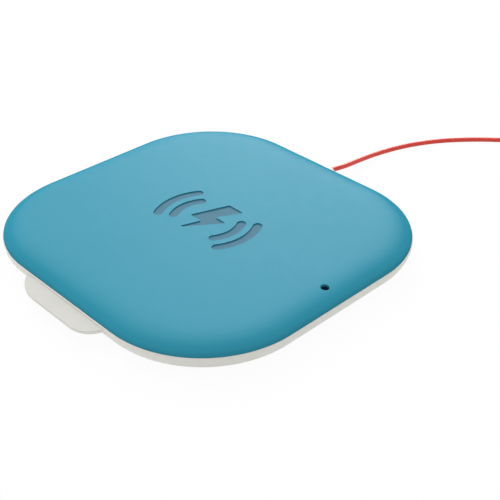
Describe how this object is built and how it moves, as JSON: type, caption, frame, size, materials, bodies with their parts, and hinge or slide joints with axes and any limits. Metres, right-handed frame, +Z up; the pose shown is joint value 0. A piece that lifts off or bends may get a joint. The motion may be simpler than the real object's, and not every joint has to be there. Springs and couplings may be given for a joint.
{
  "type": "wireless charging pad",
  "caption": "Flat rounded-square wireless charging pad with a rolled two-tone shell, a front tab, a side status light and a thin plug-in lead that ends in a power plug.",
  "frame": {"origin": "on the table under the middle of the pad's outline", "axes": "+Z up out of the charging face, -Y towards the tab, +Y towards the lead, +X towards the status light"},
  "size_m": [0.1263, 0.175, 0.008],
  "materials": {
    "cover_blue": "fine matte moulded",
    "base_ivory": "satin moulded",
    "grip_rubber": "matte",
    "winding_copper": "enamelled copper",
    "tape_amber": "adhesive tape",
    "ferrite_grey": "fired, dull",
    "board_green": "lacquered",
    "chip_black": "moulded",
    "capacitor_tan": "fired",
    "choke_grey": "fired",
    "led_white": "clear",
    "lens_smoke": "smoked, polished",
    "connector_steel": "nickel plated",
    "insert_black": "moulded",
    "plug_ivory": "soft satin",
    "cord_red": "satin jacket",
    "tie_black": "woven",
    "power_insert_white": "moulded",
    "contact_gold": "gold plated"
  },
  "bodies": {
    "pad": {"top_cover": "cover_blue", "base_shell": "base_ivory", "grip_pad": "grip_rubber", "charging_coil": "winding_copper", "coil_leads": "winding_copper", "coil_tape": "tape_amber", "ferrite_shield": "ferrite_grey", "circuit_board": "board_green", "controller_chip": "chip_black", "bridge_transistors": "chip_black", "resonant_capacitors": "capacitor_tan", "supply_inductor": "choke_grey", "filter_capacitors": "capacitor_tan", "status_led": "led_white", "light_pipe": "lens_smoke", "socket_shell": "connector_steel", "socket_tongue": "insert_black"},
    "charge_lead": {"plug_shell": "connector_steel", "plug_insert": "insert_black", "plug_moulding": "plug_ivory", "cord_run": "cord_red", "cord_coil": "cord_red", "cord_tail": "cord_red", "cord_tie": "tie_black", "power_moulding": "plug_ivory", "power_shell": "connector_steel", "power_tongue": "power_insert_white", "power_contacts": "contact_gold"}
  },
  "joints": [
    {"name": "plug_pull", "type": "slide", "parent": "pad", "child": "charge_lead", "axis": [0, 1, 0], "range_m": [0, 0.018]}
  ]
}
